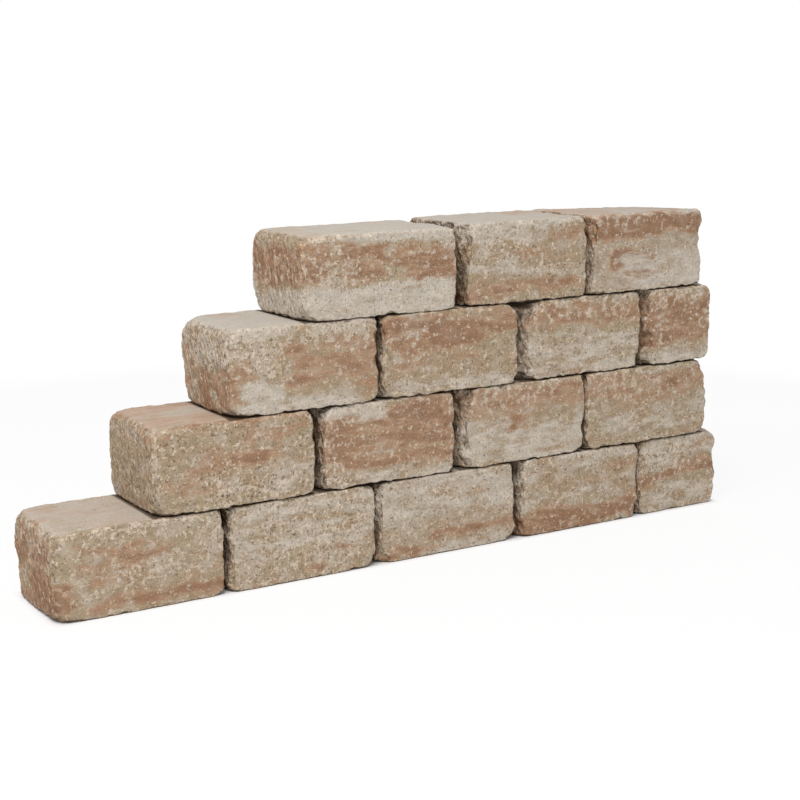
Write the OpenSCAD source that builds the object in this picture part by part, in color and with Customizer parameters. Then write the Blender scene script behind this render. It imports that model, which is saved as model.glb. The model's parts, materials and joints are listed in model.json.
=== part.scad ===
// Dry stack of tumbled concrete walling blocks, in millimetres.
// Courses lie in half bond. One end steps back course by course, the other end is plumb.
// +X runs along the stack towards the plumb end, -Y is the face, +Z is up.
// The origin is at the middle of the stack's footprint, on the ground.

/* [Block] */
// Length of a full block, end to end
block_l = 290; // [220:1:380]
// Depth of a block, face to back
block_d = 200; // [120:1:300]
// Height of a block, bed to bed
block_h = 150; // [90:1:220]
// Length of the short closer at the plumb end
closer_l = 184; // [120:1:210]

/* [Bond] */
// Open joint between the ends of two blocks
joint_w = 8; // [2:0.5:16]
// How far one block stands out of the face or behind it
face_slip = 2; // [0:0.5:6]

/* [Casting and tumbling] */
// How far a split block's length strays from the full length
length_spread = 20; // [0:1:30]
// How much lower a low block of the top course is
height_loss = 4; // [0:0.5:12]
// Radius worn along the long arrises, beside the beds
bed_arris_r = 6; // [2:0.5:12]
// Radius worn along the arrises around a split end
end_arris_r = 12; // [2:0.5:20]
// How far back along its arrises a corner is knocked off
corner_cut = 22; // [12:1:36]
// How much that wear differs from corner to corner
corner_spread = 8; // [0:0.5:10]
// How far the rough split ends swell out
split_crown = 6; // [0:0.5:12]

/* [Hidden] */
// One row for each course, from the ground up, and one entry for each block from the stepped end:
// [full block or closer, length share, joint share after it, slip share, height loss share, tone]
laid = [
    [["block",  0.6, 0.4,  0.0, 0, "buff"],
     ["block",  0.0, 0.5,  0.5, 0, "buff"],
     ["block",  0.6, 0.9, -0.5, 0, "grey"],
     ["block", -0.3, 0.5,  0.5, 0, "buff"],
     ["closer", 0.9, 0.0, -1.0, 0, "buff"]],
    [["block",  0.53, 0.9, 1.0, 0, "buff"],
     ["block", -0.5, 1.4, -0.5, 0, "terracotta"],
     ["block", -0.28, 0.6, 0.0, 0, "buff"],
     ["block",  0.6, 0.0,  0.5, 0, "buff"]],
    [["block",  0.0, 0.7,  0.0, 0, "terracotta"],
     ["block",  0.1, 1.3,  0.5, 0, "terracotta"],
     ["block", -0.4, 0.6, -1.0, 0, "buff"],
     ["closer", -0.5, 0.0, 0.5, 0, "terracotta"]],
    [["block",  1.0, 1.7,  0.5, 1, "terracotta"],
     ["block", -0.6, 0.5, -0.5, 0, "buff"],
     ["block", -0.46, 0.0, 0.0, 0, "grey"]],
];
// How far each course steps back, in half bonds from the foot of the stepped end
course_steps = [0, 1.18, 2.11, 3.09];
half_bond = (block_l + joint_w) / 2;

tones = [["buff", "#B09A80"], ["terracotta", "#A8866B"], ["grey", "#B3A592"]];
arc_steps = 3;        // facets across a worn arris
corner_dome = 0.26;   // share of the cut that the rounded middle of a corner loses
crown_rows = [-0.25, 0.25];          // rows of high spots on a split end, in block heights
crown_columns = [-0.3, 0, 0.3];      // columns of high spots on a split end, in block depths
least_swell = 0.3;    // the lowest high spot, as a share of the highest that may be drawn
course_seeds = 100;   // random seeds set aside for each course
block_seeds = 10;     // random seeds set aside for each block of it

function piece(course, place) = laid[course][place];
function piece_length(course, place) =
    (piece(course, place)[0] == "closer" ? closer_l : block_l)
    + length_spread * piece(course, place)[1];
function piece_height(course, place) = block_h - height_loss * piece(course, place)[4];
function joint_after(course, place) = joint_w * piece(course, place)[2];

// Left end of a block, measured from the foot of the stepped end
function piece_x(course, place) = place == 0
    ? half_bond * course_steps[course]
    : piece_x(course, place - 1) + piece_length(course, place - 1) + joint_after(course, place - 1);
function course_end(course) =
    let (last = len(laid[course]) - 1)
    piece_x(course, last) + piece_length(course, last);
stack_l = max([for (course = [0 : len(laid) - 1]) course_end(course)]);

function piece_name(course, place) = piece(course, place)[0] == "closer"
    ? str("course_", course + 1, "_closer")
    : str("course_", course + 1, "_block_", place + 1);
function tone_of(course, place) = tones[search([piece(course, place)[5]], tones)[0]][1];

// A point given by its distances along an axis and the two axes that follow it
function turned(axis, a, b, c) = axis == 0 ? [a, b, c] : axis == 1 ? [c, a, b] : [b, c, a];
function times(p, q) = [for (i = [0 : 2]) p[i] * q[i]];

// One knocked-off corner: where the three arrises stop short of it, and the dome between them
function corner_points(half, side, cut) = [
    for (axis = [0 : 2])
        for (step = [0 : arc_steps])
            let (
                angle = 90 * step / arc_steps,
                arris_r = axis == 0 ? bed_arris_r : end_arris_r,
                b = half[(axis + 1) % 3] - arris_r * (1 - cos(angle)),
                c = half[(axis + 2) % 3] - arris_r * (1 - sin(angle))
            )
            times(side, turned(axis, half[axis] - cut, b, c)),
    times(side, half - cut * corner_dome * [1, 1, 1]),
];

// High spots of a rough split end, each a little different
function crown_points(half, side_x, depth, height, swell) = [
    for (row = [0 : len(crown_rows) - 1])
        for (column = [0 : len(crown_columns) - 1])
            let (high = swell[row * len(crown_columns) + column])
            [side_x * (half[0] + split_crown * high), crown_columns[column] * depth, crown_rows[row] * height]
];

// A block with flat beds, worn arrises, knocked-off corners and rough ends, centred on the origin
module tumbled_block(length, depth, height, seed) {
    half = [length / 2 - split_crown, depth / 2, height / 2];
    wear = rands(-1, 1, 8, seed);
    spots = len(crown_rows) * len(crown_columns);
    left_swell = rands(least_swell, 1, spots, seed + 1);
    right_swell = rands(least_swell, 1, spots, seed + 2);
    points = [
        for (corner = [0 : 7])
            let (side = [for (bit = [1, 2, 4]) floor(corner / bit) % 2 == 0 ? -1 : 1])
            each corner_points(half, side, corner_cut + corner_spread * wear[corner]),
        each crown_points(half, -1, depth, height, left_swell / max(left_swell)),
        each crown_points(half, 1, depth, height, right_swell / max(right_swell)),
    ];
    hull() polyhedron(points, [[for (i = [0 : len(points) - 1]) i]]);
}

// A block where it lies in the stack
module laid_block(course, place) {
    length = piece_length(course, place);
    height = piece_height(course, place);
    color(tone_of(course, place))
        translate([
            piece_x(course, place) + length / 2 - stack_l / 2,
            -face_slip * piece(course, place)[3],
            course * block_h + height / 2
        ])
            tumbled_block(length, block_d, height, course_seeds * course + block_seeds * place);
}

for (course = [0 : len(laid) - 1])
    for (place = [0 : len(laid[course]) - 1])
        laid_block(course, place);
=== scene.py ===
import json
import math
import random

import bmesh
import bpy
from mathutils import Matrix, Vector, kdtree, noise


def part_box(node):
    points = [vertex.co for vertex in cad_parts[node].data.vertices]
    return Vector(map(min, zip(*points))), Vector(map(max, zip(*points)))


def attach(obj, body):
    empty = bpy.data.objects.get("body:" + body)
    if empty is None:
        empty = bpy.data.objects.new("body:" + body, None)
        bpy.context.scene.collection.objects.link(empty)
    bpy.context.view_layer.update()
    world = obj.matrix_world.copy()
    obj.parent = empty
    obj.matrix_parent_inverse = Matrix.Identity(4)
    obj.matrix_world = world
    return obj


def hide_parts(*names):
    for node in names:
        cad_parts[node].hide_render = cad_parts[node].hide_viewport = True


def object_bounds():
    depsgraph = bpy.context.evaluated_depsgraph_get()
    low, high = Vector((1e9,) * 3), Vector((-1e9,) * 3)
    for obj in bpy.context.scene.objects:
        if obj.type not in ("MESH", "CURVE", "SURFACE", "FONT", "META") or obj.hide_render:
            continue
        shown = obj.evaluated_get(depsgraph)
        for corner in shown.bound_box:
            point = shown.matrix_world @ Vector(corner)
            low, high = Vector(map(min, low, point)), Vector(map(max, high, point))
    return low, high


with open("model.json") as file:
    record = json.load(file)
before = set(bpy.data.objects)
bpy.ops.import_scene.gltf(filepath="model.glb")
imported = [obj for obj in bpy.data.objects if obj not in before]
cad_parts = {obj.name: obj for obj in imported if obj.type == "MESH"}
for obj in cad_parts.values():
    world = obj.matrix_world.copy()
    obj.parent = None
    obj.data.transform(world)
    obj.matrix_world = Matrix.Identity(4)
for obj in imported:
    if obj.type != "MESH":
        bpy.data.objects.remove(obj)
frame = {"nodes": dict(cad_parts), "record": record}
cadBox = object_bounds()
print("frame:", len(frame["nodes"]), "blocks")

mm = 0.001
noise.seed_set(11)  # or the vector noise would draw on the clock


# small helpers

def smooth(low, high, x):  # 0 below low, 1 above high, eased between
    t = min(1.0, max(0.0, (x - low) / (high - low)))
    return t * t * (3 - 2 * t)


def linear(red, green, blue):  # screen colour, 0 to 255, as linear light
    shares = [c / 255 for c in (red, green, blue)]
    return [c / 12.92 if c < 0.04045 else ((c + 0.055) / 1.055) ** 2.4 for c in shares] + [1.0]


def relief(p, drift, grain):  # layered noise, about -1 to 1
    perMetre, falloff, step, layers = grain
    return noise.fractal(p * perMetre + drift, falloff, step, layers)


# camera

photoCamera = {
    "place": (-1.4584, -2.425, 0.848),
    "turn": 31.17,  # degrees to the right of square on
    "dip": 11.47,   # degrees below level
    "roll": -0.56,  # degrees
    "lens": 70.43,  # mm
    "sensor": 36,   # mm
    "clipEnd": 50,  # m
}


def makeCamera(c):
    data = bpy.data.cameras.new("camera")
    data.lens = c["lens"]
    data.sensor_width = c["sensor"]
    data.clip_end = c["clipEnd"]
    camera = bpy.data.objects.new("camera", data)
    bpy.context.scene.collection.objects.link(camera)
    turn = Matrix.Rotation(math.radians(-c["turn"]), 4, "Z")
    dip = Matrix.Rotation(math.radians(90 - c["dip"]), 4, "X")
    roll = Matrix.Rotation(math.radians(c["roll"]), 4, "Z")
    camera.matrix_world = Matrix.Translation(c["place"]) @ turn @ dip @ roll
    bpy.context.scene.camera = camera


makeCamera(photoCamera)
print("camera set")


# the form of a block. Grains are noise: features per metre, falloff, step and number of layers

blockForm = {
    "cell": 3.3,          # mm, mesh spacing in the middle of a face
    "quickCell": 7.26,
    "edgeCrowd": 1.3,     # how much closer the mesh is at the arrises
    "topRadius": 4.5,     # mm, long arrises of the upper bed
    "baseRadius": 2.0,    # mm, long arrises of the lower bed
    "leftRadius": 4.0,    # mm, arrises round a left end in a joint
    "rightRadius": 3.0,   # mm, arrises round a right end
    "endReach": 22,       # mm, how far along a block the end radius tells
    "radiusSway": 0.8,    # share that a radius strays along its arris
    "radiusGrain": (20, 0.6, 2.1, 3),
    "leastRadius": 0.4,   # share of a radius that is always left
    "openRadius": (9.0, 5.0),    # mm, front and back arrises of the ends that step back
    "openBlend": (-0.7, 0.7),    # where in the depth the front one turns into the back one
    "openCrown": (11.0, 3.0),    # mm added at the top and the bottom of such an end
    "openCrownAt": (0.35, 0.9),  # where in the half height that sets in
    "openReach": 80,      # mm, how far along a block those radii tell
    "openHold": 0.6,      # share of that reach over which they stray slowly
    "openSway": 0.48,     # share that they stray
    "openScale": 11,      # features per metre of that straying
    "topFall": 1.8,       # mm, how far the upper bed falls away at its rim
    "baseFall": 2.2,      # mm, the same for the lower bed
    "footFall": 0.4,      # mm, the same for the lower bed of the bottom course
    "fallReach": 28,      # mm, how far in from the rim a bed falls
    "fallLevel": 0.55,    # the fall's usual share, which its noise sways about
    "fallGrain": (17, 0.7, 2.2, 3),
    "fallBand": (0.9, 1.0),      # the share of the half height that falls
    "topCrumble": 0.2,    # how much finer noise the upper rim has
    "baseCrumble": 0.8,   # the same for the lower rim
    "crumbleGrain": (70, 0.6, 2.1, 3),
    "knock": (4, 8),      # mm, how far back a corner is knocked off
    "knockSoft": 3.5,     # mm, softness of a knocked corner's rim
    "knockLean": ((0.6, 1.1), (0.35, 0.8), (0.5, 1.0)),  # lean of its plane along each axis
    "chips": 40,          # small spalls along the arrises of one block
    "chipDepth": (0.5, 2.2),     # mm
    "chipRadius": (6, 20),       # mm
    "chipLean": (0.3, 1),        # how far a spall faces off each of the two faces
    "chipTurn": (-0.5, 0.5),     # and how far along the arris
    "endFade": 60,        # mm, how far along a block its end's shape tells
    "heelFrom": 0.3,      # share of the depth from which a heel is lost
    "skewReach": 0.5,     # share of the length over which a skewed end tells
    "tearSlope": 1.6,     # how far back a torn end slants for each mm along the face
    "tearRun": 4,         # mm, added to that slant
    "tearCurve": 1.3,     # how hollow the slant is
    "tearMiddle": 0.15,   # share of the half height at which the middle value ends
    "tearSway": 0.8,      # share that the tear strays along the height
    "leastTear": 0.25,    # share of a tear that is always left
    "tearStretch": (0, 8, 28),   # features per metre of that straying, along each axis
    "tearGrain": (1, 0.8, 2.2, 3),
    "faceRough": 0.6,     # mm, relief of the moulded faces
    "bedCalm": 0.7,       # share of it that the beds lack
    "arrisRough": 1.2,    # mm, extra relief along the arrises
    "arrisReach": 9,      # mm, how far from an arris it reaches
    "raggedReach": 12,    # mm from the right end within which an arris is more ragged
    "ragged": 1.6,        # times more ragged there
    "splitRough": 4.6,    # mm, coarse relief of a split end
    "splitReach": (4, 16),       # mm in from the end over which that relief fades
    "tearRough": 5.0,     # mm, middling relief of a torn end inside a joint
    "calmReach": 45,      # mm, tumbled part of the ends that step back
    "calmSplit": 0.4,     # share of the coarse relief there
    "calmRidge": 0.7,     # share of the ridges there
    "coarseGrain": (24, 0.7, 2.2, 4),
    "middleGrain": (46, 0.8, 2.1, 3),
    "fineGrain": (120, 0.5, 2.1, 3),
}


def gridCube(half, form):  # a box as an even grid of quads, closer at its edges
    bm = bmesh.new()
    bmesh.ops.create_cube(bm, size=2)
    cell = form["cell"] * mm
    for axis in range(3):
        runs = [e for e in bm.edges if abs(e.verts[0].co[axis] - e.verts[1].co[axis]) > 0.5]
        cuts = int(2 * half[axis] / cell)
        bmesh.ops.subdivide_edges(bm, edges=runs, cuts=cuts, use_grid_fill=True)
    crowd = form["edgeCrowd"]
    for v in bm.verts:
        for axis in range(3):
            t = v.co[axis]
            eased = 1 - (1 - abs(t)) ** crowd
            v.co[axis] = math.copysign(eased, t) * half[axis]
    return bm


def roundOver(p, half, radius):  # a point of the sharp box, moved on to its rounded shape
    core = Vector([max(radius - h, min(h - radius, x)) for x, h in zip(p, half)])
    return core + (p - core).normalized() * radius


def endRadiusAt(p, half, stepped, form):  # mm, wear of the arrises round the nearer end
    if not stepped:
        return form["leftRadius" if p[0] < 0 else "rightRadius"]
    front, back = form["openRadius"]
    crown = form["openCrown"][0 if p[2] > 0 else 1]
    radius = front + (back - front) * smooth(*form["openBlend"], p[1] / half[1])
    radius += crown * smooth(*form["openCrownAt"], abs(p[2]) / half[2])
    return radius


def wearPoint(p, half, drift, looks, form):  # a point of the sharp box, moved on to the worn block
    upper = p[2] > 0
    stepped = looks["open"] and p[0] < 0
    fromEnd = half[0] - abs(p[0])
    reach = form["openReach" if stepped else "endReach"] * mm
    bedRadius = form["topRadius" if upper else "baseRadius"]
    atEnd = 1 - smooth(0, reach, fromEnd)
    radius = bedRadius + (endRadiusAt(p, half, stepped, form) - bedRadius) * atEnd
    sway = form["radiusSway"] * relief(p, drift, form["radiusGrain"])
    if stepped:
        slow = form["openSway"] * noise.noise(p * form["openScale"] + drift)
        sway += (slow - sway) * (1 - smooth(form["openHold"] * reach, reach, fromEnd))
    worn = roundOver(p, half, radius * max(form["leastRadius"], 1 + sway) * mm)
    rim = min(fromEnd, half[1] - abs(p[1]))
    crumble = form["topCrumble" if upper else "baseCrumble"] * relief(p, drift, form["crumbleGrain"])
    gape = max(0, form["fallLevel"] + relief(p, -drift, form["fallGrain"]) + crumble)
    most = form["topFall" if upper else "footFall" if looks["ground"] else "baseFall"] * mm
    fall = most * gape * (1 - smooth(0, form["fallReach"] * mm, rim))
    worn[2] -= math.copysign(fall, p[2]) * smooth(*form["fallBand"], abs(p[2]) / half[2])
    return worn


def cutCorner(points, corner, normal, back, soft):  # knock a corner off along a plane, with a soft rim
    level = corner.dot(normal) - back
    for p in points:
        over = (p.dot(normal) - level) / soft
        if over > -6:  # the rim's softness ends here
            push = over if over > 20 else math.log1p(math.exp(over))
            p -= normal * push * soft


def knockCorners(points, half, rng, looks, form):
    for sx in (-1, 1):
        for sy in (-1, 1):
            for sz in (-1, 1):
                corner = Vector((sx * half[0], sy * half[1], sz * half[2]))
                back = looks["knocks"].get((sx, sy, sz), rng.uniform(*form["knock"])) * mm
                lean = [rng.uniform(*span) for span in form["knockLean"]]
                normal = Vector((sx * lean[0], sy * lean[1], sz * lean[2])).normalized()
                cutCorner(points, corner, normal, back, form["knockSoft"] * mm)


def chipArrises(points, half, rng, looks, form):  # shallow scoops out of the arrises
    tree = kdtree.KDTree(len(points))
    for i, p in enumerate(points):
        tree.insert(p, i)
    tree.balance()
    for chip in range(form["chips"]):
        along = rng.randrange(3)
        spot = Vector([rng.choice((-1, 1)) * h for h in half])
        spot[along] *= rng.uniform(-1, 1)
        if looks["open"] and spot[0] < form["openReach"] * mm - half[0]:
            continue
        near = points[tree.find(spot)[1]].copy()
        outward = Vector([math.copysign(rng.uniform(*form["chipLean"]), x) for x in spot])
        outward[along] = rng.uniform(*form["chipTurn"])
        outward.normalize()
        radius = rng.uniform(*form["chipRadius"]) * mm
        depth = rng.uniform(*form["chipDepth"]) * mm
        centre = near + outward * (radius - depth)
        for co, i, gap in tree.find_range(centre, radius * 1.02):  # a little wide, as points have moved
            away = points[i] - centre
            if away.length < radius:
                points[i] = centre + away.normalized() * radius


def profileAt(profile, v):  # mm at height v, from (height share, mm) pairs
    for (v0, a), (v1, b) in zip(profile, profile[1:]):
        if v <= v1:
            return a + (b - a) * smooth(v0, v1, v)
    return profile[-1][1]


def tearInset(p, half, tear, drift, form):  # how far a torn left end falls back beside the face
    bottom, middle, top = tear
    up = p[2] / half[2]
    start = form["tearMiddle"]
    most = middle + (top - middle) * smooth(start, 1, up) + (bottom - middle) * smooth(start, 1, -up)
    stretched = Vector([x * s for x, s in zip(p, form["tearStretch"])])
    most *= max(form["leastTear"], 1 + form["tearSway"] * relief(stretched, drift, form["tearGrain"]))
    back = (p[1] + half[1]) / mm
    return most * mm * max(0, 1 - back / (form["tearSlope"] * most + form["tearRun"])) ** form["tearCurve"]


def moveEnds(points, half, drift, looks, form):  # torn, chipped and skewed ends, and uneven tops
    fade = form["endFade"] * mm
    for p in points:
        rear = (p[1] + half[1]) / (2 * half[1])
        along = (p[0] + half[0]) / (2 * half[0])
        up = (p[2] + half[2]) / (2 * half[2])
        atLeft = 1 - smooth(0, fade, half[0] + p[0])
        atRight = 1 - smooth(0, fade, half[0] - p[0])
        if "tear" in looks:
            p[0] += tearInset(p, half, looks["tear"], drift, form) * atLeft
        if "heel" in looks:
            p[1] -= profileAt(looks["heel"], up) * mm * smooth(form["heelFrom"], 1, rear) * atLeft
        if "brink" in looks:
            p[0] -= profileAt(looks["brink"], up) * mm * atRight
        p[0] += looks.get("skew", 0) * mm * rear * (1 - smooth(0, form["skewReach"], along))
        p[2] -= looks.get("dip", 0) * mm * rear * smooth(0, 1, along) * smooth(0, half[2], p[2])


def roughen(bm, points, sharp, half, drift, looks, form):  # relief of the faces, arrises and split ends
    normals = [v.normal.copy() for v in bm.verts]
    splitFrom, splitTo = [reach * mm for reach in form["splitReach"]]
    for v, p, n, s in zip(bm.verts, points, normals, sharp):
        gaps = sorted(h - abs(x) for x, h in zip(s, half))
        arris = math.exp(-(gaps[1] / (form["arrisReach"] * mm)) ** 2)
        calm = looks["open"] and half[0] + s[0] < form["calmReach"] * mm
        split = abs(n[0]) ** 2 * (1 - smooth(splitFrom, splitTo, half[0] - abs(s[0])))
        bed = abs(n[2]) ** 4
        coarse = relief(p, drift, form["coarseGrain"])
        middle = relief(p, -drift, form["middleGrain"])
        fine = relief(p, drift, form["fineGrain"])
        slanted = Vector((p[0] * 60, p[1] * 75 + p[2] * 40, p[2] * 22))  # features per metre
        ridge = abs(noise.noise(slanted + drift))
        rough = form["faceRough"] * (1 - bed * form["bedCalm"]) * (0.6 * coarse + 0.6 * fine)
        ragged = form["ragged"] if half[0] - s[0] < form["raggedReach"] * mm else 1
        worried = 0.4 * middle + 0.9 * fine if calm else ragged * (middle - 0.2 + 0.2 * fine)
        rough += form["arrisRough"] * arris * worried
        torn = form["splitRough"] * (coarse - 0.2) * (form["calmSplit"] if calm else 1)
        torn += (1 - arris) * (1.4 * fine - 3.0 * ridge + 0.8) * (form["calmRidge"] if calm else 1)
        if "tear" in looks and s[0] < 0:
            torn += form["tearRough"] * middle
        rough += split * torn
        v.co = p + n * rough * mm


def shapeBlock(bm, half, seed, looks, form):
    rng = random.Random(seed)
    drift = Vector([rng.uniform(-50, 50) for axis in range(3)])  # each block has its own place in the noise
    sharp = [v.co.copy() for v in bm.verts]
    points = [wearPoint(p, half, drift, looks, form) for p in sharp]
    knockCorners(points, half, rng, looks, form)
    chipArrises(points, half, rng, looks, form)
    moveEnds(points, half, drift, looks, form)
    for v, p in zip(bm.verts, points):
        v.co = p
    bm.normal_update()
    roughen(bm, points, sharp, half, drift, looks, form)


def keepInside(bm, full):  # no point leaves the solid's own box
    for v in bm.verts:
        for axis in range(3):
            v.co[axis] = min(full[axis], max(-full[axis], v.co[axis]))


# looks of each block. Ends: mm that the left and right end lie inside the full length.
# Knocks: mm that a corner is knocked back. Tear: mm along the face that a split left end slants
# back, at the bottom, middle and top. Brink and heel: mm lost at the right end and at the rear of
# the left end, by height. Skew: mm that the rear of the left end lies back. Dip: mm that the top
# sinks towards its rear right corner. Clay, lime and crust: colour runs, as shares of the face's
# length and height (left, right, bottom, top, rise along the length, strength)

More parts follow.
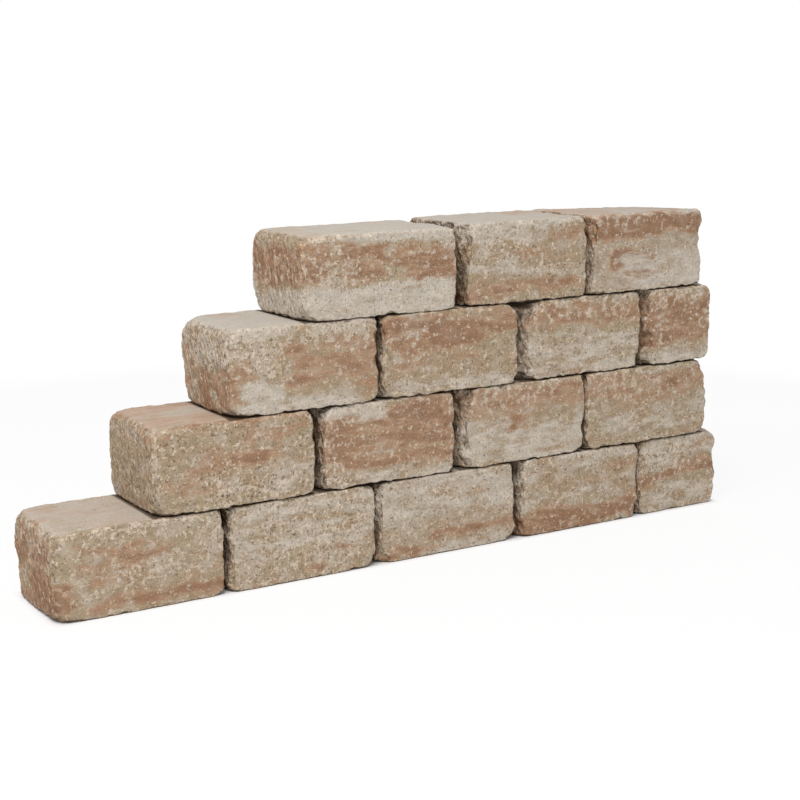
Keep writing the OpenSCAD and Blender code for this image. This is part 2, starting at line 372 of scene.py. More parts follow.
blockLooks = {
    "course_1_block_1": {
        "ends": (0, 3.5),
        "knocks": {(-1, 1, 1): 13, (-1, -1, -1): 16, (-1, -1, 1): 9, (1, -1, 1): 8, (1, -1, -1): 8},
        "heel": [(0, 12), (0.1, 12), (0.3, 15), (0.42, 14), (0.55, 2), (0.62, 0), (1, 0)],
        "clay": [(0.14, 0.66, 0.56, 0.8, 0, 0.68), (0.1, 0.48, 0.02, 0.15, 0.05, 0.88),
                 (0.5, 1.1, 0.03, 0.19, 0.05, 1.05), (0.22, 0.4, 0.36, 0.56, 0, 0.72),
                 (0.04, 0.15, 0.78, 0.9, 0, 0.6), (-0.2, 0.02, -0.1, 0.9, 0, 1.2),
                 (-0.2, 1.1, 0.97, 1.2, 0, 0.3)],
        "lime": [(0.04, 0.22, 0.18, 0.5, 0, 0.4), (0.5, 0.95, 0.25, 0.5, 0, 0.25),
                 (0.46, 0.55, 0.04, 0.14, 0, 0.9)],
        "crust": [(0.3, 0.78, 0.28, 0.6, 0, 0.7), (0.15, 1.1, 0.8, 1.1, 0, 0.75),
                  (0.86, 1.1, 0.5, 0.9, 0, 0.8), (-0.2, 0.03, 0.7, 1.0, 0, 0.7)],
    },
    "course_1_block_2": {
        "ends": (5, 1.5),
        "tear": (6, 4, 5),
        "knocks": {(-1, -1, 1): 8, (1, -1, 1): 7, (1, -1, -1): 12},
        "clay": [(0.1, 0.2, 0.4, 0.48, 0, 0.65), (0.77, 0.87, 0.3, 0.44, 0, 0.75),
                 (0.5, 0.7, 0.13, 0.27, 0.05, 0.85), (0.78, 0.9, 0.03, 0.1, 0, 0.6),
                 (0.05, 0.13, 0.04, 0.12, 0, 0.5)],
        "lime": [(0.06, 0.3, 0.6, 1.1, 0, 0.55), (0, 1.1, 0.3, 1.1, 0, 0.5),
                 (0.84, 1.1, 0.55, 1.1, 0, 0.5)],
        "crust": [(0.2, 0.9, 0.1, 1.0, 0, 0.6), (-0.1, 0.25, 0.1, 0.35, 0, 0.6)],
    },
    "course_1_block_3": {
        "ends": (2, 4),
        "tear": (11, 4, 8),
        "knocks": {(1, -1, -1): 12, (-1, -1, 1): 6},
        "clay": [(-0.1, 0.35, 0.03, 0.19, 0.15, 0.9), (0.36, 1.1, 0.16, 0.3, 0.16, 0.88)],
        "lime": [(0, 1.1, 0.45, 1.1, 0.1, 0.6), (0.4, 0.95, -0.1, 0.12, 0, 0.8)],
        "crust": [(0.42, 0.62, 0.66, 0.82, 0, 0.7), (0.82, 0.95, 0.38, 0.52, 0, 0.8),
                  (0.05, 0.25, 0.22, 0.38, 0, 0.6)],
    },
    "course_1_block_4": {
        "ends": (2, 0.5),
        "tear": (6, 5, 7),
        "knocks": {(1, -1, 1): 8, (1, -1, -1): 7},
        "clay": [(-0.1, 1.1, -0.05, 0.29, 0.04, 1.0), (0.72, 0.96, 0.66, 0.73, 0.05, 0.75),
                 (0.48, 0.64, 0.65, 0.7, 0, 0.5)],
        "lime": [(-0.1, 0.1, 0.35, 1.1, 0, 0.6), (0.1, 1.1, 0.36, 0.66, 0, 0.35),
                 (0.3, 1.1, 0.82, 1.1, 0, 0.6)],
        "crust": [(0.2, 0.5, 0.3, 0.5, 0, 0.5), (-0.1, 0.12, 0.3, 1.0, 0, 0.5)],
    },
    "course_1_closer": {
        "ends": (0, 0),
        "tear": (6, 2, 12),
        "knocks": {(-1, -1, 1): 5, (-1, -1, -1): 6, (1, -1, 1): 8},
        "brink": [(0, 4), (0.15, 1), (0.4, 0), (0.5, 2), (0.62, 5), (0.72, 4), (0.85, 1), (1, 3)],
        "clay": [(-0.1, 1.2, 0.45, 0.62, 0.02, 1.08), (0.5, 1.2, 0.66, 1.0, 0, 0.35)],
        "lime": [(-0.1, 1.2, -0.1, 0.36, 0, 0.5), (0.05, 1.1, 0.7, 1.1, 0, 0.6)],
        "crust": [(0.05, 0.65, 0.55, 0.95, 0, 0.8)],
    },
    "course_2_block_1": {
        "ends": (0, 2.5),
        "knocks": {(-1, 1, 1): 14, (-1, -1, -1): 16, (-1, -1, 1): 8, (1, -1, 1): 7, (1, -1, -1): 8},
        "heel": [(0, 12), (0.08, 8), (0.2, 0), (1, 0)],
        "clay": [(0.0, 0.17, 0.88, 0.98, 0, 0.85), (0.46, 0.8, 0.53, 0.68, 0.03, 1.1),
                 (0.74, 0.88, 0.53, 0.62, 0, 0.65), (0.3, 0.48, 0.52, 0.66, 0, 0.82),
                 (0.56, 0.95, 0.78, 0.92, 0, 0.72), (0.1, 0.45, 0.2, 0.5, 0, 0.6),
                 (-0.2, 0.9, 0.97, 1.2, 0, 1.0)],
        "lime": [(0.6, 1.1, 0.1, 0.45, 0, 0.5)],
        "crust": [(0.3, 1.1, 0.05, 0.3, 0, 0.6), (-0.2, 0.03, 0.6, 1.0, 0, 0.4)],
    },
    "course_2_block_2": {
        "ends": (7, 0.5),
        "tear": (5, 2, 11),
        "knocks": {(-1, -1, -1): 9, (-1, -1, 1): 6},
        "clay": [(0.04, 1.1, 0.2, 0.9, 0.04, 0.8), (0.5, 1.0, 0.6, 0.96, 0.02, 1.05)],
        "lime": [(0.3, 1.1, -0.1, 0.15, 0.02, 0.6), (-0.1, 0.3, -0.1, 0.12, 0, 0.5),
                 (0, 0.5, 0.82, 1.1, 0, 0.8)],
        "crust": [(0.26, 0.48, 0.42, 0.72, 0, 0.5), (0.82, 1.0, 0.48, 0.66, 0, 0.35),
                  (-0.1, 0.5, 0.84, 1.1, 0, 0.6), (-0.1, 0.2, 0.0, 0.9, 0, 0.75)],
    },
    "course_2_block_3": {
        "ends": (4, 0.5),
        "tear": (13, 13, 21),
        "knocks": {(-1, -1, -1): 7, (1, -1, -1): 11, (1, -1, 1): 3},
        "clay": [(0.02, 1.1, 0.66, 0.95, -0.02, 0.8), (0.28, 0.48, 0.42, 0.7, 0, 0.85)],
        "lime": [(0.32, 1.1, -0.1, 0.46, 0, 0.75), (-0.1, 0.35, 0.0, 0.6, 0, 0.6)],
        "crust": [(0.02, 0.75, 0.74, 1.05, 0, 0.85), (-0.1, 0.25, 0.2, 0.5, 0, 0.4)],
    },
    "course_2_block_4": {
        "ends": (0, 0),
        "tear": (2, 1, 1),
        "knocks": {(-1, -1, -1): 5, (-1, -1, 1): 3, (1, -1, 1): 8},
        "brink": [(0, 1), (0.35, 0), (0.55, 2), (0.75, 6), (0.88, 11), (1, 16)],
        "clay": [(-0.1, 1.1, 0.6, 0.94, 0, 0.74)],
        "lime": [(0.0, 1.1, 0.1, 0.5, 0, 0.42), (0.4, 0.8, 0.94, 1.1, 0, 0.5)],
        "crust": [(0.3, 0.5, 0.2, 0.55, 0, 0.6), (0.05, 0.7, 0.6, 1.0, 0, 0.65)],
    },
    "course_3_block_1": {
        "ends": (0, 1),
        "skew": 4,
        "knocks": {(-1, 1, 1): 18, (-1, -1, -1): 16, (-1, -1, 1): 8, (1, -1, -1): 8},
        "heel": [(0, 20), (0.1, 15), (0.3, 11), (0.45, 5), (0.6, 0), (1, 0)],
        "clay": [(0.05, 0.16, 0.44, 0.78, 0, 0.85), (0.33, 0.5, 0.66, 0.88, 0, 0.85),
                 (0.38, 1.1, 0.3, 0.62, 0, 0.74), (0.62, 1.1, 0.56, 0.84, 0, 0.78),
                 (0.84, 1.1, 0.1, 0.3, 0, 0.8), (-0.2, 0.03, 0, 0.48, 0, 0.95)],
        "lime": [(0.04, 0.38, -0.1, 0.4, 0, 0.95), (0.38, 0.86, -0.1, 0.18, -0.04, 0.9),
                 (0.45, 0.95, 0.87, 0.97, 0, 0.6), (-0.2, 0.03, 0.55, 1.0, 0, 0.7),
                 (-0.2, 1.1, 0.97, 1.2, 0, 0.9)],
        "crust": [(0.03, 0.36, 0.55, 1.05, 0, 1.2), (0.45, 0.95, 0.72, 1.0, 0, 0.85),
                  (0.18, 0.4, 0.45, 0.62, 0, 0.75), (0.64, 0.8, 0.32, 0.6, 0, 0.5),
                  (-0.2, 0.03, 0.5, 1.0, 0, 0.8)],
    },
    "course_3_block_2": {
        "ends": (4, 0.5),
        "tear": (4, 3, 4),
        "knocks": {(1, -1, 1): 13, (1, -1, -1): 7, (-1, -1, -1): 7},
        "clay": [(0.02, 0.34, 0.55, 0.92, 0, 1.0), (0.3, 0.8, 0.53, 0.92, 0.08, 1.25),
                 (0.7, 1.1, 0.68, 0.92, 0, 0.9), (0.05, 0.66, 0.37, 0.5, 0.06, 0.55),
                 (0.08, 0.5, 0.28, 0.38, 0, 0.55)],
        "lime": [(0.3, 0.6, 0.04, 0.2, 0, 0.5), (-0.1, 0.3, 0.97, 1.1, 0, 0.5),
                 (-0.1, 1.1, -0.1, 0.2, 0, 0.6)],
        "crust": [(0.2, 0.32, 0.45, 0.8, 0, 0.7), (0.4, 0.6, 0.02, 0.22, 0, 0.6)],
    },
    "course_3_block_3": {
        "ends": (0, 0.5),
        "tear": (28, 13, 33),
        "knocks": {(-1, -1, -1): 8},
        "clay": [(0.05, 1.1, 0.62, 0.9, 0, 0.84), (0.05, 0.2, 0.54, 0.7, 0, 0.5)],
        "lime": [(-0.1, 1.1, -0.1, 0.52, 0, 0.55)],
        "crust": [(0.05, 0.9, 0.72, 1.05, 0, 0.75), (0.68, 0.8, 0.3, 0.62, 0, 0.8)],
    },
    "course_3_closer": {
        "ends": (0, 0.5),
        "tear": (18, 21, 16),
        "knocks": {(-1, -1, -1): 6},
        "brink": [(0, 7), (0.12, 3), (0.3, 3), (0.55, 3), (0.7, 1), (0.85, 0), (1, 5)],
        "clay": [(-0.1, 1.2, 0.24, 0.92, 0, 0.96)],
        "lime": [(-0.1, 1.2, -0.1, 0.18, 0.05, 0.7)],
        "crust": [(0.1, 0.35, 0.3, 0.62, 0, 0.6), (0.78, 1.0, 0.4, 0.75, 0, 0.7),
                  (-0.1, 0.8, 0.74, 1.05, 0, 0.85)],
    },
    "course_4_block_1": {
        "ends": (0, 2.5),
        "knocks": {(-1, 1, 1): 11, (-1, -1, -1): 16, (1, -1, -1): 6, (1, -1, 1): 8},
        "heel": [(0, 18), (0.1, 12), (0.22, 4), (0.32, 0), (1, 0)],
        "clay": [(-0.2, 0.2, 0.42, 0.86, 0, 0.9), (0.26, 0.54, 0.44, 0.9, 0, 0.92),
                 (0.57, 0.93, 0.38, 0.84, 0, 1.0), (0.84, 1.1, 0.3, 0.6, 0, 0.85)],
        "lime": [(-0.2, 1.1, -0.1, 0.38, 0.02, 0.95), (0.2, 1.1, 0.9, 1.2, 0, 0.85)],
        "crust": [(0.1, 0.32, 0.74, 1.0, 0, 0.95), (0.06, 0.4, 0.4, 0.7, 0, 0.8),
                  (0.52, 0.59, 0.42, 0.82, 0, 0.75), (0.9, 1.1, 0.5, 1.0, 0, 0.9),
                  (-0.2, 0.03, 0.4, 0.7, 0, 0.5)],
    },
    "course_4_block_2": {
        "ends": (6, 0.5),
        "tear": (5, 6, 20),
        "knocks": {(-1, -1, -1): 8, (-1, -1, 1): 8},
        "clay": [(-0.02, 1.1, 0.08, 0.25, 0.09, 0.84), (0.66, 1.0, 0.76, 0.88, -0.1, 0.85),
                 (0.1, 0.75, 0.52, 0.66, 0, 0.58)],
        "lime": [(-0.1, 0.7, 0.74, 1.1, 0, 0.75), (-0.1, 1.1, 0.28, 0.5, 0, 0.48),
                 (-0.2, 1.1, 0.97, 1.2, 0, 0.9)],
        "crust": [(0.05, 0.5, 0.45, 0.95, 0, 0.5), (0.5, 0.7, 0.3, 0.45, 0, 0.5)],
    },
    "course_4_block_3": {
        "ends": (0, 0),
        "tear": (2, 9, 19),
        "dip": 7,
        "knocks": {(1, 1, 1): 10, (-1, -1, -1): 5, (-1, -1, 1): 7},
        "brink": [(0, 5), (0.1, 3), (0.35, 2), (0.45, 5),
                  (0.52, 9), (0.7, 9), (0.8, 3), (0.87, 0), (1, 1)],
        "clay": [(-0.1, 1.1, 0.66, 0.97, 0.08, 1.18), (0.18, 0.52, 0.28, 0.5, 0, 1.35)],
        "lime": [(0.3, 1.1, -0.1, 0.5, 0, 0.76), (-0.1, 0.3, -0.1, 0.3, 0, 0.3),
                 (-0.2, 1.1, 0.97, 1.2, 0, 0.6)],
        "crust": [(0.0, 0.5, 0.8, 1.0, 0, 0.55), (0.1, 0.5, 0.4, 0.65, 0, 0.5)],
    },
}


# where each finish, and the painted shade between the beds, shows

paintForm = {
    "runFade": 0.07,            # share of the length over which a run fades at each end
    "runEdge": (0.1, 0.08),     # shares of the height over which it fades, outside and inside its edge
    "sway": ((9, -1, 0.1), (22, 1, 0.09), (60, 1, 0.05)),  # features per metre, side, share of a block
    "swayUp": 0.8,              # how much of that sway counts in height
    "bend": 0.35,               # share of the height that a run wanders towards the back
    "bendScale": (2.2, 6),      # features for the depth, and per metre of length
    "bendFrom": (0.1, 0.9),     # where in the depth that sets in
    "wornReach": 11,            # mm, how far from an arris the wear shows
    "crust": (0.15, 0.4, 0.85),     # crust everywhere, on the arrises and in the runs
    "endFacing": (0.45, 0.8),   # how far a point must face along the stack to count as split
    "bareSplit": 0.5,           # share of the split look, its painted shade included, on an end that stands free
    "bedFacing": (0.6, 0.9),    # how far a point must face up to count as bed
    "bedShadeFacing": (0.5, 0.8),   # the same for the painted shade between two beds
    "bedShadeInset": (2, 7),        # mm in from the face over which that painted shade sets in
}


def runStrength(runs, u, v, form):  # the strongest run at a spot of the face
    fade = form["runFade"]
    outside, inside = form["runEdge"]
    strongest = 0.0
    for left, right, bottom, top, rise, strength in runs:
        level = v - rise * (u - 0.5)
        along = smooth(left - fade, left + fade, u) * (1 - smooth(right - fade, right + fade, u))
        up = smooth(bottom - outside, bottom + inside, level)
        up *= 1 - smooth(top - inside, top + outside, level)
        strongest = max(strongest, strength * along * up)
    return strongest


def paintBlock(mesh, half, seed, looks, bare, loads, form):  # how much of each finish, and of the painted shade between the beds, shows at each point
    drift = Vector((seed * 3.7, seed * 1.9, seed * 2.3))  # each block has its own place in the noise
    layers = {name: [] for name in ("clay", "lime", "crust", "worn", "split", "bed", "paintedBedShade")}
    normals = [n.vector.copy() for n in mesh.vertex_normals]
    deep, long = form["bendScale"]
    everywhere, onArris, inRun = form["crust"]
    shadeFrom, shadeTo = [inset * mm for inset in form["bedShadeInset"]]
    for vert, n in zip(mesh.vertices, normals):
        p = vert.co
        sway = Vector()
        for perMetre, side, share in form["sway"]:
            sway += noise.noise_vector(p * perMetre + drift * side) * share
        depth = (p[1] + half[1]) / (2 * half[1])
        bend = noise.noise(Vector((depth * deep, seed, p[0] * long))) * form["bend"]
        bend *= smooth(*form["bendFrom"], depth)
        u = (p[0] + half[0]) / (2 * half[0]) + sway[0]
        v = (p[2] + half[2]) / (2 * half[2]) + form["swayUp"] * sway[2] + bend
        gaps = sorted(h - abs(x) for x, h in zip(p, half))
        worn = math.exp(-(max(0, gaps[1]) / (form["wornReach"] * mm)) ** 2)
        crusted = runStrength(looks["crust"], u, v, form)
        endOn = smooth(*form["endFacing"], abs(n[0]))
        loaded = any(low < p[0] < high for low, high in loads)
        # painted shade: the top bed under the course above and every lower bed are darkened
        shadedUnder = loaded * smooth(shadeFrom, shadeTo, half[1] - abs(p[1])) * smooth(*form["bedShadeFacing"], n[2])
        layers["clay"].append(runStrength(looks["clay"], u, v, form))
        layers["lime"].append(runStrength(looks["lime"], u, v, form))
        layers["crust"].append(min(1, everywhere + onArris * worn + inRun * crusted))
        layers["worn"].append(worn)
        layers["split"].append(endOn * (form["bareSplit"] if bare[p[0] > 0] else 1))
        layers["bed"].append(smooth(*form["bedFacing"], n[2]))
        layers["paintedBedShade"].append(max(shadedUnder, smooth(*form["bedShadeFacing"], -n[2])))
    for name, values in layers.items():
        mesh.attributes.new(name, "FLOAT", "POINT").data.foreach_set("value", values)


# concrete

concreteColours = {
    "khaki": linear(168, 151, 126),
    "tan": linear(169, 147, 122),
    "ash": linear(186, 173, 157),
    "clayLight": linear(174, 142, 116),
    "clayDeep": linear(151, 117, 92),
    "lime": linear(199, 190, 178),
    "crust": linear(205, 190, 173),
    "cream": linear(225, 207, 186),
    # painted shade in small pores
    "poreShade": linear(118, 95, 74),
    # painted shade in pinholes
    "pinholeShade": linear(74, 58, 44),
    "top": linear(190, 178, 165),
    "clayTop": linear(183, 150, 127),
    "limeTop": linear(183, 178, 169),
    "bedShade": (0.30, 0.26, 0.22, 1),  # painted shade: darkens the beds between two courses, where the blocks shade each other
}

concreteNoise = {  # features per metre, layers, roughness
    "patch": (26, 3, 0.6),
    "cloud": (27, 4, 0.6),
    "mottle": (70, 4, 0.6),
    "ragged": (50, 5, 0.65),
    "crumb": (80, 4, 0.62),
    "fleck": (180, 3, 0.6),
    "poreShade": (200, 3, 0.6),
    "hollow": (130, 4, 0.66),
    "grain": (350, 2, 0.5),
    "streak": (1.1, 5, 0.6),
}

concreteSpans = {  # where each layer sets in and is full, and its full share if that isn't 1
    "tan": (0.42, 0.58),
    "ash": (0.5, 0.62, 0.45),
    "deep": (0.62, 1.08),
    "clay": (0.2, 0.82, 0.94),
    "lime": (0.2, 0.95, 0.92),
    "veil": (0.54, 0.68, 0.45),
    "veilOffClay": (1.4, 0.1),
    "crust": (0.585, 0.66, 0.6),
    "fleck": (0.61, 0.66, 0.66),
    "plain": (1.3, 0.2),
    "poreShade": (0.393, 0.352, 0.75),
    "dust": (0.1, 0.6, 0.85),
    "dustOffArris": (0.9, 0.1),
    "stone": (0.32, 0.2),
    "stonePick": (0.78, 0.9),
    "pinholeShade": (0.22, 0.14),
    "pitPick": (0.86, 0.90),
}

concreteTones = {  # darkest and brightest shade of a noise, as factors
    "tone": ((0.40, (0.90, 0.89, 0.87, 1)), (0.60, (1.08, 1.08, 1.08, 1))),
    "grit": ((0.38, (0.87, 0.86, 0.85, 1)), (0.62, (1.12, 1.12, 1.12, 1))),
    # painted shade in the hollows of a split end and painted light on its crests
    "torn": ((0.41, (0.40, 0.35, 0.31, 1)), (0.55, (1.25, 1.23, 1.21, 1))),
}

concreteMix = {
    "raggedSwing": 2.8,     # how far the edges of the clay and lime runs stray
    "veilZone": 0.1,        # how much the crusty zones add to the veil
    "crustZone": 0.11,      # to the crust
    "fleckZone": 0.07,      # to the flecks
    "poreShadeZone": 0.03,      # and to the painted pore shade
    "poreShadeSplit": 0.04,     # how much the split ends add to the painted pore shade
    "gather": 0.45,         # how closely the flecks keep to the crusty spots
    "fleckOffClay": 0.04,   # how much solid clay takes from the flecks
    "limePlain": 0.7,       # how far lime hides the painted pore shade, next to clay
    "torn": 0.9,            # share of the painted shade in the hollows, and light on the crests, on a split end
    "clayTop": 0.6,         # share of the clay that shows on a scraped bed
    "limeTop": 0.8,         # share of the lime that shows on a scraped bed
    "warpScale": 260,       # features per metre that warp the stones and pinholes
    "warp": (0.013, 0.013, 0.013),  # m
    "stoneScale": 140,      # cells per metre
    "stoneShare": 0.66,
    "pitScale": 105,        # cells per metre
    "pitShare": 0.7,
    "roughness": 0.92,
    "specular": 0.2,
    "bumpCrust": 0.35,      # height of each layer in the bump, next to the mottle
    "bumpFleck": 1.5,
    "bumpHollow": 7.0,
    "bumpPit": 0.9,
    "bumpSpeck": 0.4,
    "bumpStrength": 0.7,
    "bumpDepth": 1.8,       # mm
}


class NodeBoard:  # shorthand for laying out the nodes of a material or a world
    def __init__(self, owner):
        owner.use_nodes = True
        self.tree = owner.node_tree
        self.shader = self.tree.nodes.get("Principled BSDF")  # a world has none

    def add(self, kind, settings=None, **links):
        node = self.tree.nodes.new(kind)
        for name, value in (settings or {}).items():
            setattr(node, name, value)
        for name, value in links.items():
            self.feed(node.inputs[name.replace("_", " ")], value)
        return node

    def feed(self, socket, value):
        if isinstance(value, bpy.types.NodeSocket):
            self.tree.links.new(value, socket)
        else:
            socket.default_value = value

    def math(self, operation, a, b=0.0):
        node = self.add("ShaderNodeMath", {"operation": operation})
        self.feed(node.inputs[0], a)
        self.feed(node.inputs[1], b)
        return node.outputs[0]

    def plus(self, a, b):
        return self.math("ADD", a, b)

    def minus(self, a, b):
        return self.math("SUBTRACT", a, b)

    def times(self, a, b):
        return self.math("MULTIPLY", a, b)

    def noise(self, where, scale, detail, rough):
        node = self.add("ShaderNodeTexNoise", Vector=where, Scale=scale, Detail=detail, Roughness=rough)
        return node.outputs["Fac"]

    def cells(self, where, scale):  # distance from a cell's middle, and the cell's own random colour
        node = self.add("ShaderNodeTexVoronoi", Vector=where, Scale=scale)
        pick = self.add("ShaderNodeSeparateColor", Color=node.outputs["Color"])
        return node.outputs["Distance"], pick.outputs

    def fit(self, value, low, high, to=1.0):  # low..high becomes 0..to
        node = self.add("ShaderNodeMapRange", {"interpolation_type": "SMOOTHSTEP"},
                        Value=value, From_Min=low, From_Max=high, To_Max=to)
        return node.outputs[0]

    def mix(self, share, a, b, blend="MIX"):
        node = self.add("ShaderNodeMix", {"data_type": "RGBA", "blend_type": blend})
        self.feed(node.inputs[0], share)
        self.feed(node.inputs[6], a)
        self.feed(node.inputs[7], b)
        return node.outputs[2]

    def ramp(self, value, stops):  # two stops
        node = self.add("ShaderNodeValToRGB", Fac=value)
        for stop, (place, colour) in zip(node.color_ramp.elements, stops):
            stop.position = place
            stop.color = colour
        return node.outputs["Color"]

    def layer(self, name):
        return self.add("ShaderNodeAttribute", {"attribute_name": name}).outputs["Fac"]

    def seen(self):  # 1 for what the camera and reflections see, 0 for what lights the stack
        rays = self.add("ShaderNodeLightPath")
        return self.math("MAXIMUM", rays.outputs["Is Camera Ray"], rays.outputs["Is Glossy Ray"])


def concreteMaterial(name, look, grains, spans, tones, m):
    material = bpy.data.materials.new(name)
    b = NodeBoard(material)
    where = b.add("ShaderNodeTexCoord").outputs["Object"]
    laid = b.add("ShaderNodeMapping", Vector=where, Scale=(0.5, 1, 1)).outputs[0]
    banded = b.add("ShaderNodeMapping", Vector=where, Scale=(0.3, 1, 1)).outputs[0]
    apart = b.add("ShaderNodeMapping", Vector=where, Location=(3, 1, 7)).outputs[0]
    slant = b.add("ShaderNodeMapping", {"vector_type": "TEXTURE"}, Vector=where,
                  Rotation=(-0.44, 0, 0), Scale=(1, 0.8, 2.4)).outputs[0]
    streaked = b.add("ShaderNodeMapping", Vector=where, Scale=(14, 22, 22)).outputs[0]
    patch = b.noise(banded, *grains["patch"])
    cloud = b.noise(apart, *grains["cloud"])
    mottle = b.noise(laid, *grains["mottle"])
    ragged = b.times(b.minus(b.noise(banded, *grains["ragged"]), 0.5), m["raggedSwing"])
    crumb = b.noise(apart, *grains["crumb"])
    fleck = b.noise(where, *grains["fleck"])
    poreShade = b.noise(apart, *grains["poreShade"])
    hollow = b.noise(slant, *grains["hollow"])
    grain = b.noise(apart, *grains["grain"])
    streak = b.noise(streaked, *grains["streak"])

    # layers of the mix: khaki, tan and ash ground, with the clay and lime coloured runs
    ground = b.mix(b.fit(patch, *spans["tan"]), look["khaki"], look["tan"])
    ground = b.mix(b.fit(cloud, *spans["ash"]), ground, look["ash"])
    clayRun = b.plus(b.layer("clay"), ragged)
    clay = b.mix(b.fit(clayRun, *spans["deep"]), look["clayLight"], look["clayDeep"])
    clayShare = b.fit(clayRun, *spans["clay"])
    colour = b.mix(clayShare, ground, clay)
    limeShare = b.fit(b.minus(b.layer("lime"), ragged), *spans["lime"])
    colour = b.mix(limeShare, colour, look["lime"])

    # uneven strength of the colour
    colour = b.mix(1.0, colour, b.ramp(mottle, tones["tone"]), "MULTIPLY")
    colour = b.mix(1.0, colour, b.ramp(grain, tones["grit"]), "MULTIPLY")

    # a pale veil, clusters of crust and flecks of sand, thickest on the worn arrises
    zone = b.layer("crust")
    veil = b.fit(b.plus(cloud, b.times(zone, m["veilZone"])), *spans["veil"])
    veil = b.times(veil, b.fit(clayShare, *spans["veilOffClay"]))
    colour = b.mix(veil, colour, look["ash"])
    crust = b.fit(b.plus(crumb, b.times(zone, m["crustZone"])), *spans["crust"])
    colour = b.mix(crust, colour, look["crust"])
    gather = b.times(b.minus(crumb, 0.5), m["gather"])
    sown = b.plus(b.plus(fleck, gather), b.times(zone, m["fleckZone"]))
    sown = b.minus(sown, b.times(clayShare, m["fleckOffClay"]))
    colour = b.mix(b.fit(sown, *spans["fleck"]), colour, look["cream"])

    # painted shade in small pores, which solid clay and lime hardly show
    split = b.layer("split")
    dark = b.minus(b.minus(poreShade, b.times(zone, m["poreShadeZone"])), b.times(split, m["poreShadeSplit"]))
    plain = b.fit(b.plus(clayShare, b.times(limeShare, m["limePlain"])), *spans["plain"])
    poreShadeMask = b.times(b.fit(dark, *spans["poreShade"]), plain)
    colour = b.mix(poreShadeMask, colour, look["poreShade"])

    # torn ends: painted shade in the hollows between the stones and painted light on their crests
    colour = b.mix(b.times(split, m["torn"]), colour, b.ramp(hollow, tones["torn"]), "MULTIPLY")

    # scraped top beds are smoother and dustier
    dust = b.times(b.layer("bed"), b.fit(streak, *spans["dust"]))
    dust = b.times(dust, b.fit(b.layer("worn"), *spans["dustOffArris"]))
    scraped = b.mix(b.times(clayShare, m["clayTop"]), look["top"], look["clayTop"])
    scraped = b.mix(b.times(limeShare, m["limeTop"]), scraped, look["limeTop"])
    colour = b.mix(dust, colour, scraped)

    # stones, and painted shade in pinholes, in warped cells
    warped = b.add("ShaderNodeVectorMath", {"operation": "MULTIPLY_ADD"})
    warp = b.add("ShaderNodeTexNoise", Vector=where, Scale=m["warpScale"])
    b.feed(warped.inputs[0], warp.outputs["Color"])
    b.feed(warped.inputs[1], m["warp"])
    b.feed(warped.inputs[2], where)
    gap, pick = b.cells(warped.outputs[0], m["stoneScale"])
    stone = b.times(b.fit(gap, *spans["stone"]), b.fit(pick[0], *spans["stonePick"]))
    stone = b.times(stone, b.minus(1.0, dust))
    colour = b.mix(b.times(stone, m["stoneShare"]), colour, look["cream"])
    gap, pick = b.cells(warped.outputs[0], m["pitScale"])
    pinholeShade = b.times(b.fit(gap, *spans["pinholeShade"]), b.fit(pick[1], *spans["pitPick"]))
    pinholeShade = b.times(pinholeShade, plain)
    colour = b.mix(b.times(pinholeShade, m["pitShare"]), colour, look["pinholeShade"])
    # painted shade on the beds between two courses
    colour = b.mix(b.layer("paintedBedShade"), colour, look["bedShade"], "MULTIPLY")
    b.feed(b.shader.inputs["Base Color"], colour)
    b.feed(b.shader.inputs["Roughness"], m["roughness"])
    b.feed(b.shader.inputs["Specular IOR Level"], m["specular"])

    # fine relief
    height = b.plus(mottle, b.times(crust, m["bumpCrust"]))
    height = b.plus(height, b.times(fleck, m["bumpFleck"]))
    height = b.plus(height, b.times(b.times(hollow, split), m["bumpHollow"]))
    height = b.minus(height, b.times(pinholeShade, m["bumpPit"]))
    height = b.minus(height, b.times(poreShadeMask, m["bumpSpeck"]))
    bump = b.add("ShaderNodeBump", Height=height, Strength=m["bumpStrength"], Distance=m["bumpDepth"] * mm)
    b.feed(b.shader.inputs["Normal"], bump.outputs[0])
    return material


slotColours = {  # what a slot changes in the concrete's colours
    "buff_concrete": {},
    "terracotta_concrete": {},
    "grey_concrete": {"khaki": linear(174, 159, 139), "tan": linear(173, 154, 132)},
}
finishes = {}
for slot, own in slotColours.items():
    look = {**concreteColours, **own}
    finishes[slot] = concreteMaterial(slot, look, concreteNoise, concreteSpans, concreteTones, concreteMix)
slotOf = {part["node"]: part["material_slot"] for part in frame["record"]["subparts"]}
print("materials made")


# the blocks

firstSeed = 11
lastBlocks = ("course_1_closer", "course_2_block_4", "course_3_closer", "course_4_block_3")


def makeBlock(node, seed):
    low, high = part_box(node)
    centre = (low + high) / 2
    full = (high - low) / 2
    looks = {**blockLooks[node], "open": node.endswith("block_1"), "ground": node.startswith("course_1")}
    left, right = looks["ends"]
    shift = Vector(((left - right) / 2 * mm, 0, 0))
    half = full - Vector(((left + right) / 2 * mm, 0, 0))
    bare = (looks["open"], node in lastBlocks)  # left and right ends that stand free
    bm = gridCube(half, blockForm)
    shapeBlock(bm, half, seed, looks, blockForm)
    bmesh.ops.translate(bm, verts=bm.verts, vec=shift)
    keepInside(bm, full)
    mesh = bpy.data.meshes.new("worn_" + node)
    bm.to_mesh(mesh)
    bm.free()
    above = "course_%d" % (int(node.split("_")[1]) + 1)
    loads = [[c[0] - centre[0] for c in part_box(n)] for n in blockLooks if n.startswith(above)]
    paintBlock(mesh, full, seed, looks, bare, loads, paintForm)
    mesh.transform(Matrix.Translation(centre))
    for face in mesh.polygons:
        face.use_smooth = True
    mesh.materials.append(finishes[slotOf[node]])
    block = bpy.data.objects.new("worn_" + node, mesh)
    bpy.context.scene.collection.objects.link(block)
    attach(block, "root")
    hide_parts(node)
    return len(mesh.polygons) * 2  # every face is a quad


triangles = 0
for number, node in enumerate(sorted(blockLooks)):
    triangles += makeBlock(node, firstSeed + number)
print("blocks made:", triangles, "triangles")


# floor and light

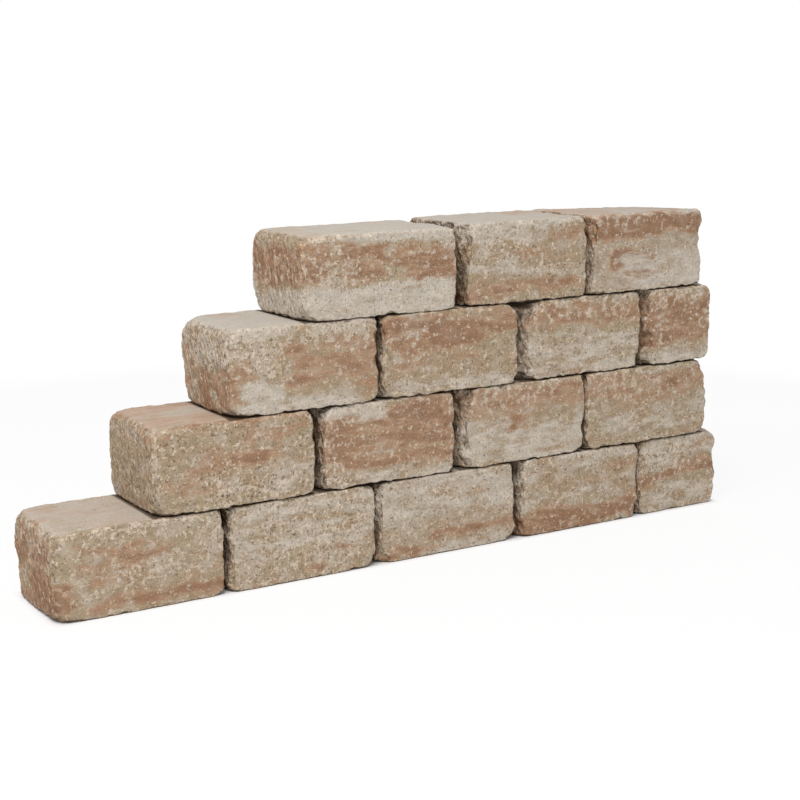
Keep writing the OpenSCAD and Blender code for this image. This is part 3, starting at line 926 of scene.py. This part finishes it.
studio = {
    "floor": 8.0,               # m
    "floorDrop": 0.5,           # mm below the stack
    "floorColour": (0.93, 0.93, 0.93, 1),
    "white": (1, 1, 1, 1),
    "shadowReach": (0.7, 2.2),  # m from the middle, where the shaded floor gives way to plain white
    "contact": (-0.004, 0.012, 0.87),  # m from the foot where its dark line fades, and the share that goes
    "skyStrength": 0.55,
    "keyPlace": (-1.9, -1.5, 3.9),
    "keyAim": (0.0, 0.0, 0.3),
    "keySize": 2.4,             # m
    "keyPower": 130,            # W
}


def makeFloor(s):
    bm = bmesh.new()
    bmesh.ops.create_grid(bm, x_segments=1, y_segments=1, size=s["floor"])
    bmesh.ops.translate(bm, verts=bm.verts, vec=(0, 0, -s["floorDrop"] * mm))
    mesh = bpy.data.meshes.new("floor")
    bm.to_mesh(mesh)
    bm.free()
    material = bpy.data.materials.new("whiteFloor")
    b = NodeBoard(material)
    b.feed(b.shader.inputs["Base Color"], s["floorColour"])
    b.feed(b.shader.inputs["Roughness"], 1)
    glow = b.add("ShaderNodeEmission", Color=s["white"], Strength=1.0)
    where = b.add("ShaderNodeTexCoord").outputs["Object"]
    reach = b.add("ShaderNodeVectorMath", {"operation": "LENGTH"}, Vector=where).outputs["Value"]
    white = b.fit(reach, *s["shadowReach"])
    place = b.add("ShaderNodeSeparateXYZ", Vector=where)
    foot = [b.minus(b.math("ABSOLUTE", place.outputs[i]), cadBox[1][i]) for i in range(2)]
    clear = b.fit(b.math("MAXIMUM", *foot), *s["contact"])
    blend = b.add("ShaderNodeMixShader")
    b.feed(blend.inputs[0], b.times(b.seen(), b.math("MAXIMUM", white, clear)))
    b.feed(blend.inputs[1], b.shader.outputs[0])
    b.feed(blend.inputs[2], glow.outputs[0])
    b.feed(b.tree.nodes["Material Output"].inputs[0], blend.outputs[0])
    mesh.materials.append(material)
    floor = bpy.data.objects.new("floor", mesh)
    bpy.context.scene.collection.objects.link(floor)


def makeLight(s):
    world = bpy.data.worlds.new("studio")
    bpy.context.scene.world = world
    b = NodeBoard(world)
    sky = b.tree.nodes["Background"]
    level = b.add("ShaderNodeMapRange", Value=b.seen(), To_Min=s["skyStrength"], To_Max=1.0)
    b.feed(sky.inputs["Strength"], level.outputs[0])
    b.feed(sky.inputs["Color"], s["white"])
    data = bpy.data.lights.new("key", "AREA")
    data.energy = s["keyPower"]
    data.size = s["keySize"]
    key = bpy.data.objects.new("key", data)
    key.location = s["keyPlace"]
    aim = Vector(s["keyAim"]) - Vector(s["keyPlace"])
    key.rotation_euler = aim.to_track_quat("-Z", "Y").to_euler()
    bpy.context.scene.collection.objects.link(key)


makeFloor(studio)
makeLight(studio)
bpy.context.scene.view_settings.view_transform = "Standard"
print("floor and light set")
